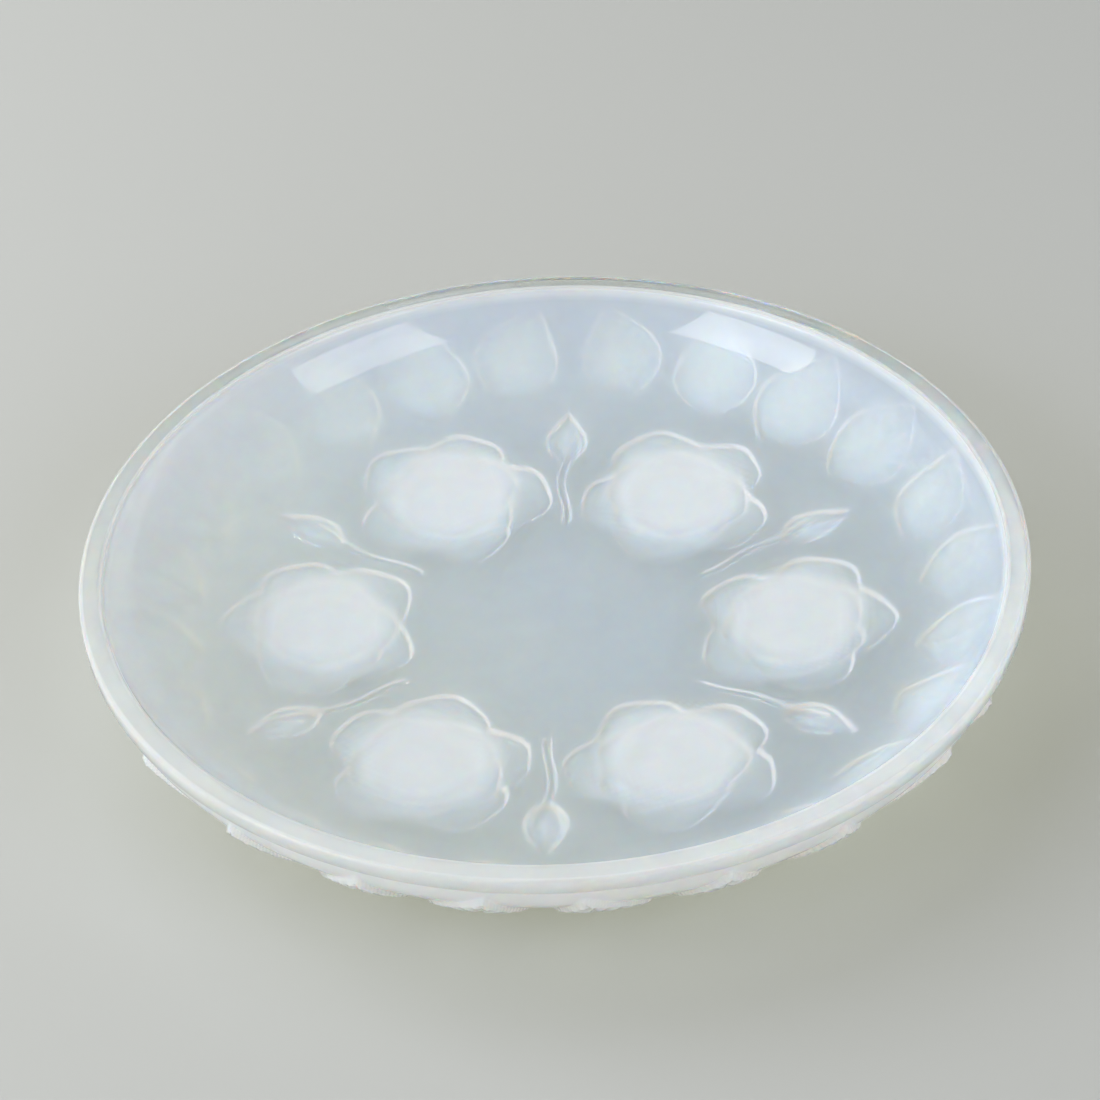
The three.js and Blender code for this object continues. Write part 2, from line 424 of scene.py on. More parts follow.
@dataclass(frozen=True)
class Stem:
    """Thin swaying ridge that carries a bud, with a round section pinched a little at its foot."""

    length: float
    width: float
    peak: float
    sway: float
    sway_start: float
    sway_length: float
    pinch: float = 1.6

    @property
    def reach(self) -> float:
        """Distance from the middle beyond which the motif is flat."""
        return self.length / 2 + self.width

    def rise(self, along: Array, across: Array) -> Array:
        """Give the stem's height over the glass.

        Args:
            along: Distance from the stem's middle towards the bud, in millimetres.
            across: Distance to the side.

        Returns:
            Height of the stem at each point, 0 outside it.
        """
        sway = self.sway * np.sin(math.pi * (along - self.sway_start) / self.sway_length)
        past = np.maximum(np.abs(along) - self.length / 2, 0)
        out = np.hypot(across - sway, past) / self.width
        return self.peak * np.sqrt(np.clip(1 - (self.pinch * out) ** 2, 0, 1))


@dataclass(frozen=True)
class Plot:
    """Where one motif lies on the underside rolled out flat: its middle, and its direction."""

    length: float
    angle: float
    tilt: float
    motif: Rose | Blade | Stem

    def rise(self, flat: Array) -> Array:
        """Give the motif's height at points of the rolled-out underside.

        Args:
            flat: Points as complex numbers, with distances from the axis kept.

        Returns:
            Height over the glass in millimetres.
        """
        middle = self.length * np.exp(1j * self.angle)
        local = (flat - middle) * np.exp(-1j * (self.angle + self.tilt))
        height = np.zeros(flat.shape)
        near = np.abs(local) <= self.motif.reach
        height[near] = self.motif.rise(local[near].real, local[near].imag)
        return height


@dataclass
class Wreath:
    """Ring of roses inside a ring of leaves, with buds between the roses, all in millimetres."""

    profile: DishProfile
    rose_count: int = 6
    rose_gap: float = 8.0
    turn: float = math.radians(-4)
    rose_turn: float = math.radians(50)
    crown_cut: float = 1.4
    leaves_per_rose: int = 4
    leaf_length: float = 50.0
    leaf_shortest: float = 44.0
    leaf_rise: float = 3.4
    leaf_edge_rise: float = 2.6
    leaf_tilt: float = math.radians(13)
    leaf_wander: float = math.radians(8)
    leaf_gap: float = 4.0
    leaf_side_gap: float = 2.5
    leaf_margin: float = 3.0
    leaf_length_wave: float = math.radians(76)
    leaf_tilt_wave: float = math.radians(127)
    leaf_teeth: int = 9
    bed_rise: float = 1.3
    bed_slope: float = 22.0
    midrib_depth: float = 0.9
    vein_rise: float = 0.35
    bud_length: float = 31.0
    bud_width: float = 17.0
    bud_rise: float = 4.4
    bud_fullness: float = 0.75
    bud_midrib: float = 0.6
    sepal_length: float = 19.0
    sepal_width: float = 6.5
    sepal_proud: float = 0.6
    sepal_edge_drop: float = 0.4
    sepal_tilt: float = math.radians(17)
    stem_length: float = 34.0
    stem_width: float = 2.8
    stem_rise: float = 1.9
    stem_sway: float = 1.5
    plots: list[Plot] = field(default_factory=list)

    def __post_init__(self) -> None:
        """Lay out every motif."""
        half_sector = math.pi / self.rose_count
        leaf_tip = self.profile.underside_length - self.leaf_margin
        rose_reach = leaf_tip - self.leaf_length - self.leaf_gap
        ring = (rose_reach + self.rose_gap / 2) / (1 + math.sin(half_sector))
        for number in range(self.rose_count):
            angle = self.turn + 2 * half_sector * number
            self._add_rose(ring, angle, number, rose_reach - ring)
            self._add_leaves(leaf_tip, angle, number, 2 * half_sector / self.leaves_per_rose)
            self._add_bud(rose_reach - self.bud_length, ring * math.cos(half_sector), angle + half_sector)

    def _add_rose(self, ring: float, angle: float, number: int, radius: float) -> None:
        """Lay one rose, turned a little further than the last.

        Args:
            ring: Length along the underside at which the roses' middles lie, in millimetres.
            angle: Angle of the rose, in radians.
            number: Number of the rose.
            radius: The rose's radius.
        """
        _, height = self.profile.under(np.array(ring))
        rose = Rose(radius, float(height) + self.crown_cut, number)
        self.plots.append(Plot(ring, angle, self.rose_turn * number, rose))

    def _add_leaves(self, tip: float, angle: float, rose: int, pitch: float) -> None:
        """Lay the fan of leaves behind one rose, no two neighbours alike.

        Args:
            tip: Length along the underside at which the leaves end, in millimetres.
            angle: Angle of the rose, in radians.
            rose: Number of the rose.
            pitch: Angle from one leaf to the next.
        """
        radius, _ = self.profile.under(np.array(tip - self.leaf_length / 2))
        widest = pitch * float(radius) - self.leaf_side_gap
        for number in range(self.leaves_per_rose):
            place = number - (self.leaves_per_rose - 1) / 2
            count = rose * self.leaves_per_rose + number
            share = (1 + math.cos(self.leaf_length_wave * count)) / 2
            length = self.leaf_shortest + (self.leaf_length - self.leaf_shortest) * share
            leaf = Blade(
                length,
                widest * length / self.leaf_length,
                self.leaf_rise,
                edge_rise=self.leaf_edge_rise,
                midrib_depth=self.midrib_depth,
                vein_rise=self.vein_rise,
                teeth=self.leaf_teeth,
            )
            tilt = place * self.leaf_tilt + self.leaf_wander * math.sin(self.leaf_tilt_wave * count)
            self.plots.append(Plot(tip - length / 2, angle + place * pitch, tilt, leaf))

    def _add_bud(self, base: float, narrowest: float, angle: float) -> None:
        """Lay a bud with its two sepals, and the stem that carries it.

        Args:
            base: Length along the underside at which the bud starts, in millimetres.
            narrowest: Length at which the two roses beside the stem are nearest.
            angle: Angle of the bud, in radians.
        """
        bud = Blade(
            self.bud_length,
            self.bud_width,
            self.bud_rise,
            self.bud_fullness,
            midrib_depth=self.bud_midrib,
        )
        self.plots.append(Plot(base + self.bud_length / 2, angle, 0, bud))
        sepal = Blade(
            self.sepal_length,
            self.sepal_width,
            self.bud_rise + self.sepal_proud,
            edge_rise=self.bud_rise - self.sepal_edge_drop,
        )
        half = self.sepal_length / 2
        for way in (-1, 1):
            along = base + half * math.cos(self.sepal_tilt)
            across = way * half * math.sin(self.sepal_tilt)
            turned = angle + math.atan2(across, along)
            self.plots.append(Plot(math.hypot(along, across), turned, way * self.sepal_tilt, sepal))
        middle = base - self.stem_length / 2
        stem = Stem(
            self.stem_length,
            self.stem_width,
            self.stem_rise,
            self.stem_sway,
            narrowest - middle,
            base - narrowest,
        )
        self.plots.append(Plot(middle, angle, 0, stem))

    def bed(self, length: Array) -> Array:
        """Give the height of the low bed that joins the leaves.

        Args:
            length: Lengths along the underside from the axis, in millimetres.

        Returns:
            Height of the bed at each length.
        """
        tip = self.profile.underside_length
        base = tip - self.leaf_margin - self.leaf_length
        return self.bed_rise * ramp(length - base, self.bed_slope) * ramp(tip - length, self.bed_slope / 2)

    def rise(self, length: Array, angle: Array) -> Array:
        """Give the relief's height over a grid of the underside.

        Args:
            length: Lengths along the underside from the axis, in millimetres.
            angle: Angles round the axis, in radians.

        Returns:
            Heights in millimetres, one row for each length.
        """
        flat = length[:, None] * np.exp(1j * angle[None, :])
        height = np.zeros(flat.shape)
        for plot in self.plots:
            height = np.maximum(height, plot.rise(flat))
        return height


@dataclass
class ReliefField:
    """The relief over a fine grid of the underside, and what the light in the glass makes of it."""

    profile: DishProfile
    wreath: Wreath
    segments: int
    plain_radius: float
    step: float
    line_slope: float = 0.8
    line_spread: float = 1.2
    line_strength: float = 0.72

    def __post_init__(self) -> None:
        """Work out the grid and the relief's heights."""
        end = self.profile.underside_length
        steps = round((end - self.plain_radius) / self.step)
        self.lengths = np.linspace(self.plain_radius, end, steps + 1)
        self.angles = np.arange(self.segments) * 2 * math.pi / self.segments
        self.slope = self.profile.slope_at(self.lengths)
        self.radius, self.height = self.profile.under(self.lengths)
        self.rise = self.wreath.rise(self.lengths, self.angles)
        self.face = np.maximum(self.rise, self.wreath.bed(self.lengths)[:, None])

    def scattered(self, width: float) -> Array:
        """Blur the heights as light is scattered in the glass.

        Args:
            width: How far the light wanders, in millimetres.

        Returns:
            The blurred heights, one row for each length.
        """
        waves = np.fft.rfftfreq(self.segments, 1 / self.segments)
        damp = np.exp(-0.5 * (waves[None, :] * width / self.radius[:, None]) ** 2)
        around = np.fft.irfft(np.fft.rfft(self.rise, axis=1) * damp, self.segments, axis=1)
        apart = (self.lengths[:, None] - self.lengths[None, :]) / width
        weight = np.exp(-0.5 * apart**2)
        return weight @ around / weight.sum(axis=1, keepdims=True)

    def edges(self) -> Array:
        """Find the steep edges of the relief, where a thin warm line is painted in as a highlight.

        Returns:
            A share from 0 to 1 for each point, one row for each length.
        """
        outward = np.gradient(self.rise, self.lengths, axis=0)
        sideways = (np.roll(self.rise, -1, axis=1) - np.roll(self.rise, 1, axis=1)) / 2
        sideways = sideways * self.segments / (2 * math.pi * self.radius[:, None])
        return self.line_strength * ramp(np.hypot(outward, sideways) - self.line_slope, self.line_spread)


@dataclass(frozen=True)
class Glow:
    """What the light in the glass makes of some points, each value from 0 to 1.

    Milk is the share of light that the glass scatters there, with a painted glow at the front and painted
    shade on the far wall, strike is how densely it turned milky, white is how much of its blue cast it lost,
    more towards the lit side as painted light, and edge is how much painted warm highlight it gets along a
    relief edge.
    """

    milk: Array | float
    strike: Array | float
    white: Array | float
    edge: Array | float = 0.0


@dataclass
class RingSkin:
    """Closed mesh grown ring by ring from one pole to the other, with values on its points."""

    points: list[Array] = field(default_factory=list)
    faces: list[list[int]] = field(default_factory=list)
    face_finish: list[int] = field(default_factory=list)
    glows: dict[str, list[Array]] = field(default_factory=lambda: {each.name: [] for each in fields(Glow)})
    spread: list[Array] = field(default_factory=list)
    last: Array = field(default_factory=lambda: np.zeros(0, int))
    count: int = 0

    def add(self, ring: Array, glow: Glow, spread: Array, finish: Finish) -> None:
        """Add a ring of points and join it to the ring before.

        Args:
            ring: Points in metres, one row each; a single row is a pole.
            glow: What the light in the glass makes of each point.
            spread: Place of each point on the flat map, one row each.
            finish: Finish of the faces that join it to the ring before.
        """
        size = len(ring)
        index = np.arange(self.count, self.count + size)
        self.points.append(ring)
        for label, rings in self.glows.items():
            rings.append(np.broadcast_to(getattr(glow, label), size))
        self.spread.append(spread)
        before = len(self.faces)
        if len(self.last):
            self._join(self.last, index)
        self.face_finish += [finish.value] * (len(self.faces) - before)
        self.last = index
        self.count += size

    def _join(self, low: Array, high: Array) -> None:
        """Join two rings, of which one may have twice the points of the other, or be a pole.

        Args:
            low: Numbers of the points of the ring before.
            high: Numbers of the points of the new ring.
        """
        if len(low) == len(high):
            faces = np.column_stack([low, np.roll(low, -1), np.roll(high, -1), high])
            self.faces += faces.tolist()
        elif len(low) == 1:
            self.faces += [[int(low[0]), b, a] for a, b in zip(high.tolist(), np.roll(high, -1).tolist())]
        elif len(high) == 1:
            self.faces += [[int(high[0]), a, b] for a, b in zip(low.tolist(), np.roll(low, -1).tolist())]
        elif len(low) < len(high):
            self._join_double(low, high, False)
        else:
            self._join_double(high, low, True)

    def _join_double(self, few: Array, many: Array, turned: bool) -> None:
        """Join a ring to one with twice its points, with three triangles a step.

        Args:
            few: Numbers of the points of the coarse ring.
            many: Numbers of the points of the fine ring.
            turned: Whether the fine ring comes first, which turns the triangles over.
        """
        start, end = few, np.roll(few, -1)
        first, middle, last = many[0::2], many[1::2], np.roll(many[0::2], -1)
        for corners in ((start, middle, first), (start, end, middle), (end, last, middle)):
            columns = corners[::-1] if turned else corners
            self.faces += np.column_stack(columns).tolist()

    def mesh(self, name: str) -> bpy.types.Mesh:
        """Make the mesh with its smooth faces, finishes, values and flat map.

        Args:
            name: Name of the mesh.

        Returns:
            The new mesh.
        """
        mesh = bpy.data.meshes.new(name)
        mesh.from_pydata(np.concatenate(self.points).tolist(), [], self.faces)
        mesh.polygons.foreach_set("use_smooth", np.ones(len(self.faces), bool))
        mesh.polygons.foreach_set("material_index", np.array(self.face_finish, np.int32))
        for label, rings in self.glows.items():
            attribute = mesh.attributes.new(label, "FLOAT", "POINT")
            attribute.data.foreach_set("value", np.concatenate(rings).astype(np.float32))
        corner_points = np.zeros(len(mesh.loops), np.int32)
        mesh.loops.foreach_get("vertex_index", corner_points)
        layer = mesh.uv_layers.new(name="OFBake")
        layer.uv.foreach_set("vector", np.concatenate(self.spread)[corner_points].ravel().astype(np.float32))
        mesh.update()
        return mesh


@dataclass(frozen=True)
class OpalescentGlass:
    """Opalescent soda glass, pressed hot in an iron mould.

    Fluorides in the melt strike where the glass is thick and cools slowly. Thin glass stays clear with a
    blue cast, thick glass turns milky white, and a warm line is painted along the edges of the relief as a
    highlight. Light that has passed through it is yellow, which shows in its shadow. Paths and sizes are in
    millimetres.
    """

    name: str
    roughness: float
    thin_colour: str = "#d8e5fd"
    haze_colour: str = "#e2ecfa"
    milk_colour: str = "#e6ecf1"
    edge_colour: str = "#f0e2d3"
    haze_stop: float = 0.4
    thin_lamp_tint: str = "#d8d29c"
    thick_lamp_tint: str = "#8a8000"
    ior: float = 1.51
    free_path: tuple[float, float, float] = (1.0, 0.68, 0.46)
    thin_path: float = 26.0
    thick_path: float = 6.0
    cloud_size: float = 25.0
    cloud_depth: float = 0.12
    cloud_detail: float = 2.0

    def make(self) -> bpy.types.Material:
        """Build the node material.

        Returns:
            The new material.
        """
        material = bpy.data.materials.new(self.name)
        material.use_nodes = True
        tree = material.node_tree
        tree.nodes.clear()
        milk = self._milk(tree)
        # The edge attribute paints a warm highlight line into the colour, and holds back the light let
        # through.
        edge = add_node(tree, "ShaderNodeAttribute", {"attribute_name": "edge"}).outputs["Fac"]
        filled = add_node(tree, "ShaderNodeMath", {"operation": "ADD"}, value=edge, value_001=milk)
        strike = add_node(tree, "ShaderNodeAttribute", {"attribute_name": "strike"})
        wander = add_node(
            tree,
            "ShaderNodeMapRange",
            {"to_min": self.thin_path * MM, "to_max": self.thick_path * MM},
            value=strike.outputs["Fac"],
        )
        glass = add_node(
            tree,
            "ShaderNodeBsdfPrincipled",
            {"roughness": self.roughness, "ior": self.ior, "subsurface_radius": self.free_path},
            subsurface_scale=wander.outputs["Result"],
            base_color=self._colour(tree, edge),
            transmission_weight=self._rest(tree, filled.outputs["Value"]),
            subsurface_weight=self._rest(tree, edge),
        )
        path = add_node(tree, "ShaderNodeLightPath")
        surface = add_node(
            tree,
            "ShaderNodeMixShader",
            None,
            fac=path.outputs["Is Shadow Ray"],
            shader=glass.outputs["BSDF"],
            shader_001=self._lamp_way(tree, milk),
        )
        add_node(tree, "ShaderNodeOutputMaterial", None, surface=surface.outputs["Shader"])
        return material

    def _colour(self, tree: bpy.types.NodeTree, edge: bpy.types.NodeSocket) -> bpy.types.NodeSocket:
        """Colour the glass from its blue cast to white, and paint a warm highlight along the edges of the
        relief.

        Args:
            tree: Node tree of the material.
            edge: How much painted highlight each point gets along a relief edge.

        Returns:
            The colour.
        """
        white = add_node(tree, "ShaderNodeAttribute", {"attribute_name": "white"})
        colours = add_node(tree, "ShaderNodeValToRGB", fac=white.outputs["Fac"])
        stops = colours.color_ramp.elements
        stops[0].color = linear(self.thin_colour)
        stops[1].color = linear(self.milk_colour)
        stops.new(self.haze_stop).color = linear(self.haze_colour)
        warm = add_node(
            tree,
            "ShaderNodeMix",
            {"data_type": "RGBA", "b_color": linear(self.edge_colour)},
            factor_float=edge,
            a_color=colours.outputs["Color"],
        )
        return warm.outputs[2]

    def _rest(self, tree: bpy.types.NodeTree, share: bpy.types.NodeSocket) -> bpy.types.NodeSocket:
        """Give what a share leaves of the light, never less than nothing."""
        settings = {"operation": "SUBTRACT", "use_clamp": True, "value": 1.0}
        return add_node(tree, "ShaderNodeMath", settings, value_001=share).outputs["Value"]

    def _lamp_way(self, tree: bpy.types.NodeTree, milk: bpy.types.NodeSocket) -> bpy.types.NodeSocket:
        """Let the lamps' light through to what lies behind, tinted the more the milkier the glass is.

        Args:
            tree: Node tree of the material.
            milk: How milky the glass is.

        Returns:
            The shader that the lamps' light meets.
        """
        tints = {
            "data_type": "RGBA",
            "a_color": linear(self.thin_lamp_tint),
            "b_color": linear(self.thick_lamp_tint),
        }
        tint = add_node(tree, "ShaderNodeMix", tints, factor_float=milk)
        return add_node(tree, "ShaderNodeBsdfTransparent", None, color=tint.outputs[2]).outputs["BSDF"]

    def _milk(self, tree: bpy.types.NodeTree) -> bpy.types.NodeSocket:
        """Read how milky the glass is, with the faint clouds that the melt leaves.

        Args:
            tree: Node tree of the material.

        Returns:
            The share of light that the glass scatters.
        """
        milk = add_node(tree, "ShaderNodeAttribute", {"attribute_name": "milk"})
        place = add_node(tree, "ShaderNodeTexCoord")
        cloud = add_node(
            tree,
            "ShaderNodeTexNoise",
            {"scale": 1 / (self.cloud_size * MM), "detail": self.cloud_detail},
            vector=place.outputs["Object"],
        )
        drift = add_node(
            tree,
            "ShaderNodeMapRange",
            {"to_min": 1 - self.cloud_depth, "to_max": 1 + self.cloud_depth},
            value=cloud.outputs["Fac"],
        )
        cloudy = add_node(
            tree,
            "ShaderNodeMath",
            {"operation": "MULTIPLY", "use_clamp": True},
            value=milk.outputs["Fac"],
            value_001=drift.outputs["Result"],
        )
        return cloudy.outputs["Value"]


@dataclass(frozen=True)
class RoundShare:
    """A share that changes round the bowl, from its back to its front."""

    back: float
    front: float

    def at(self, frontness: Array) -> Array:
        """Give the share at points, by how near each is to the front."""
        return self.back + (self.front - self.back) * frontness


@dataclass
class GlassBowl:
    """The bowl as one closed piece of glass.

    Sizes are in millimetres. The veil is what the inside scatters, the haze and the milk what the underside
    does, and each is a share from 0 to 1. Core is the thick heart of a rose, and lip the white line inside
    the rim. Sides are angles round the axis. Narrow rings have half of their points left out, once or more.
    """

    profile: DishProfile
    wreath: Wreath
    segments: int = 1120
    plain_radius: float = 44.0
    plain_step: float = 7.0
    plain_halvings: int = 3
    relief_step: float = 0.7
    edge_steps: int = 6
    inside_wall_steps: int = 32
    inside_floor_steps: int = 48
    under_scatter: float = 2.5
    inside_scatter: float = 5.5
    clear_depth: float = 5.0
    milk_depth: float = 6.0
    milk_power: float = 3.0
    floor_veil: float = 0.2
    floor_haze: float = 0.3
    wall_veil: float = 0.48
    veil_power: float = 1.4
    # Painted glow: the steep wall at the front turns milky white.
    wall_milk: float = 1.0
    # Painted light: the veil is thicker towards the side the lamps light, and thinner across from it.
    strike_drift: float = 0.15
    strike_side: float = math.radians(160)
    front_side: float = math.radians(258)
    # Painted shade: the wall across from the lit side loses this share of its milk.
    far_loss: float = 0.95
    patch_depth: float = 0.6
    patch_waves: tuple[tuple[int, float], ...] = ((5, 0.6), (8, 2.0))
    # Painted light: towards this side, where the lamps stand, the glass loses its blue cast.
    white_side: float = math.radians(205)
    core_milk: float = 0.78
    core_depth: float = 9.5
    core_spread: float = 4.5
    # Painted glow: the collar and the rim face are milkier at the front, for light piped through the rim.
    collar_milk: RoundShare = RoundShare(back=0.1, front=0.5)
    rim_edge_milk: RoundShare = RoundShare(back=0.55, front=0.6)
    rim_milk: RoundShare = RoundShare(back=0.08, front=0.5)
    lip_milk: float = 0.8
    lip_width: float = 5.0
    rim_strike: float = 0.5
    rim_shares: tuple[float, float] = (0.22, 0.82)
    map_radius: float = 0.24

    def build(self) -> bpy.types.Object:
        """Make the bowl's mesh object.

        Returns:
            The new object, linked to the scene.
        """
        relief = ReliefField(self.profile, self.wreath, self.segments, self.plain_radius, self.relief_step)
        skin = RingSkin()
        self._grow_underside(skin, relief)
        self._grow_rim(skin)
        self._grow_inside(skin, relief)
        bowl = bpy.data.objects.new(PIECE_NAME, skin.mesh(PIECE_NAME))
        bpy.context.scene.collection.objects.link(bowl)
        return bowl

    def dress(self, bowl: bpy.types.Object) -> None:
        """Give the bowl its finishes, in the order of their numbers on the mesh.

        Args:
            bowl: The bowl's mesh object.
        """
        finishes = {
            # The iron mould leaves a satin skin, which softens what shines through it.
            Finish.MOULDED: OpalescentGlass(
                "opalescent_glass_moulded",
                roughness=0.12,
                thin_colour="#e6ecf1",
                haze_colour="#e9eff2",
            ),
            # Ground flat and polished by hand, the rim has a soft sheen and hardly any blue.
            Finish.RIM: OpalescentGlass(
                "opalescent_glass_ground_rim",
                roughness=0.1,
                thin_colour="#f0f3f5",
                haze_colour="#f0f3f5",
                free_path=(1.0, 0.9, 0.8),
            ),
            # Polished in the fire, the inside is smooth as a mirror and shows the softboxes with sharp edges.
            Finish.INSIDE: OpalescentGlass(
                "opalescent_glass_fire_polished",
                roughness=0.005,
                thin_lamp_tint="#fafaf8",
                thick_lamp_tint="#dcdcd8",
            ),
        }
        for finish in Finish:
            bowl.data.materials.append(finishes[finish].make())

    def _milk(self, thickness: Array | float) -> Array:
        """Tell how milky the glass is at a thickness in millimetres, from 0 to 1."""
        deep = np.maximum(np.asarray(thickness, float) - self.clear_depth, 0) / self.milk_depth
        return 1 - np.exp(-(deep**self.milk_power))

    def _steepness(self, relief: ReliefField) -> Array:
        """Tell how steep each row of the relief's grid is, from 0 on the floor to 1 at the wall's top."""
        return ((relief.slope - relief.slope[0]) / (relief.slope[-1] - relief.slope[0]))[:, None]

    def _frontness(self, angles: Array) -> Array:
        """Tell how near each angle is to the front, from 0 to 1; there the wall and the rim get a painted
        glow of whiter milk.
        """
        return (1 + np.cos(angles - self.front_side)) / 2

    def _nearness(self, relief: ReliefField, side: float) -> Array:
        """Tell how near each point is to a side, given by its angle: 1 at its rim, 0 at the rim across."""
        along = np.cos(relief.angles - side)[None, :]
        return (1 + along * (relief.radius / self.profile.rim_radius)[:, None]) / 2

    def _veil(self, relief: ReliefField) -> Array:
        """Tell how much of the glass below is veiled at the inside, over the relief's grid.

        Towards the lit side the veil is thicker, painted light that whitens that side, and the wall is veiled
        more than the floor.

        Args:
            relief: The relief under the inside.

        Returns:
            Share of the light that is scattered on its way in, one row for each length.
        """
        outward = (relief.lengths - relief.lengths[0]) / (relief.lengths[-1] - relief.lengths[0])
        veil = self.floor_veil + (self.wall_veil - self.floor_veil) * outward[:, None] ** self.veil_power
        # Painted light: more veil towards the lit side, less on the far side.
        veil = veil + self.strike_drift * (2 * self._nearness(relief, self.strike_side) - 1)
        thickness = self.profile.glass_thickness + relief.scattered(self.inside_scatter)
        core = ramp(thickness - self.core_depth, self.core_spread)
        return veil + np.maximum(self.core_milk - veil, 0) * core

    def _patches(self, relief: ReliefField) -> Array:
        """Tell what share of its milk each point of the wall kept: the melt strikes in uneven patches, and
        the wall away from the lit side loses milk as painted shade.

        Args:
            relief: The relief on the wall.

        Returns:
            A share from 0 to 1 for each point, one row for each length.
        """
        turn = relief.angles[None, :]
        waves = sum(np.sin(count * turn + phase) for count, phase in self.patch_waves)
        patchy = self.patch_depth * waves / len(self.patch_waves)
        # Painted shade: milk lost on the wall away from the lit side, on top of the uneven patches.
        lost = self.far_loss * (1 - self._nearness(relief, self.strike_side)) + patchy
        return 1 - np.clip(lost, 0, 1) * self._steepness(relief)

    def _strike(self, relief: ReliefField, width: float) -> Array:
        """Tell how densely the glass struck, which it does where it is thick.

        Args:
            relief: The relief under the glass.
            width: How far the light wanders, in millimetres.

        Returns:
            A share from 0 to 1 for each point, one row for each length.
        """
        return self._milk(self.profile.glass_thickness + relief.scattered(width))

    def _white(self, relief: ReliefField, strike: Array) -> Array:
        """Tell how white the glass is: where it struck densely, and towards the lit side, where painted light
        takes its blue cast away.
        """
        near = np.maximum(2 * self._nearness(relief, self.white_side) - 1, 0)
        return 1 - (1 - strike) * (1 - near)

    def _turned(self, radius: float, height: float, count: int) -> Array:
        """Points in metres of one ring of a turned surface, with radius and height in millimetres."""
        angle = np.arange(count) * 2 * math.pi / count
        return np.column_stack([radius * np.cos(angle), radius * np.sin(angle), np.full(count, height)]) * MM

    def _spread(self, length: float, count: int, face: Face) -> Array:
        """Find places on the flat map: the underside is a disc on its left, the inside one on its right.

        Args:
            length: Distance from the axis along the surface, in millimetres.
            count: Number of points round the ring.
            face: Which face of the dish.

        Returns:
            Place of each point of the ring, one row each.
        """
        angle = np.arange(count) * 2 * math.pi / count
        reach = self.profile.underside_length + 2 * (self.profile.collar_height + self.profile.rim_width)
        scale = self.map_radius * length / reach
        return np.column_stack([face.value + scale * np.cos(angle), 0.5 + scale * np.sin(angle)])

    def _grow_underside(self, skin: RingSkin, relief: ReliefField) -> None:
        """Grow the plain middle and the relief, from the axis to the ledge under the collar.

        Args:
            skin: The mesh so far.
            relief: The relief on the underside.
        """
        profile = self.profile
        thin = self._milk(profile.glass_thickness)
        plain = Glow(1 - (1 - thin) * (1 - self.floor_haze), thin, thin)
        pole = np.array([[0, 0, profile.foot_height * MM]])
        skin.add(pole, plain, self._spread(0, 1, Face.UNDER), Finish.MOULDED)
        lengths = np.linspace(0, self.plain_radius, round(self.plain_radius / self.plain_step) + 1)[1:-1]
        for number, length in enumerate(lengths):
            radius, height = profile.under(length)
            count = self.segments >> max(self.plain_halvings - number, 1)
            ring = self._turned(float(radius), float(height), count)
            skin.add(ring, plain, self._spread(length, count, Face.UNDER), Finish.MOULDED)
        swell = profile.wall_swell * np.sin(relief.slope)[:, None]
        strike = self._strike(relief, self.under_scatter)
        white = self._white(relief, strike)
        clear = 1 - self._milk(profile.glass_thickness + swell + relief.scattered(self.under_scatter))
        # Painted glow: the steep wall towards the front turns milky white, standing in for light shining
        # through it.
        front_glow_mask = self._frontness(relief.angles)[None, :] * self._steepness(relief)
        haze = self.floor_haze * (1 - self._steepness(relief))
        milk = 1 - (1 - (1 - clear) * self._patches(relief)) * (1 - haze)
        milk = 1 - (1 - milk) * (1 - self.wall_milk * front_glow_mask)
        # Painted highlight: a warm line along the steep relief edges, left off the front wall.
        edges = relief.edges() * (1 - front_glow_mask)
        for row, length in enumerate(relief.lengths):
            rise = relief.face[row]
            out = relief.radius[row] + rise * math.sin(relief.slope[row])
            low = np.maximum(0, relief.height[row] - rise * math.cos(relief.slope[row]))
            ring = np.column_stack([out * np.cos(relief.angles), out * np.sin(relief.angles), low]) * MM
            spread = self._spread(length, self.segments, Face.UNDER)
            skin.add(ring, Glow(milk[row], strike[row], white[row], edges[row]), spread, Finish.MOULDED)

    def _grow_rim(self, skin: RingSkin) -> None:
        """Grow the ledge, the collar and the flat rim face with its two rounded edges.

        Args:
            skin: The mesh so far.
        """
        profile = self.profile
        top = profile.rim_height
        quarter = np.linspace(0, math.pi / 2, self.edge_steps)
        # Painted glow: the collar and the rim face turn milkier towards the front.
        front = self._frontness(np.arange(self.segments) * 2 * math.pi / self.segments)
        outer, inner = profile.rim_outer_round, profile.rim_inner_round
        outline = [(profile.rim_radius, top - profile.collar_height, self.collar_milk)]
        for turn in quarter:
            radius = profile.rim_radius - outer * (1 - math.cos(turn))
            outline.append((radius, top - outer * (1 - math.sin(turn)), self.rim_edge_milk))
        for share in self.rim_shares:
            outline.append((profile.rim_radius - share * profile.rim_width, top, self.rim_milk))
        for turn in quarter:
            radius = profile.inside_rim_radius + inner * (1 - math.sin(turn))
            outline.append((radius, top - inner * (1 - math.cos(turn)), self.rim_edge_milk))
        length = profile.underside_length
        last_radius, last_height = (float(value) for value in profile.under(np.array(length)))
        for radius, height, milk in outline:
            length += math.hypot(radius - last_radius, height - last_height)
            last_radius, last_height = radius, height
            ring = self._turned(radius, height, self.segments)
            glow = Glow(milk.at(front), self.rim_strike, self.rim_strike)
            skin.add(ring, glow, self._spread(length, self.segments, Face.UNDER), Finish.RIM)

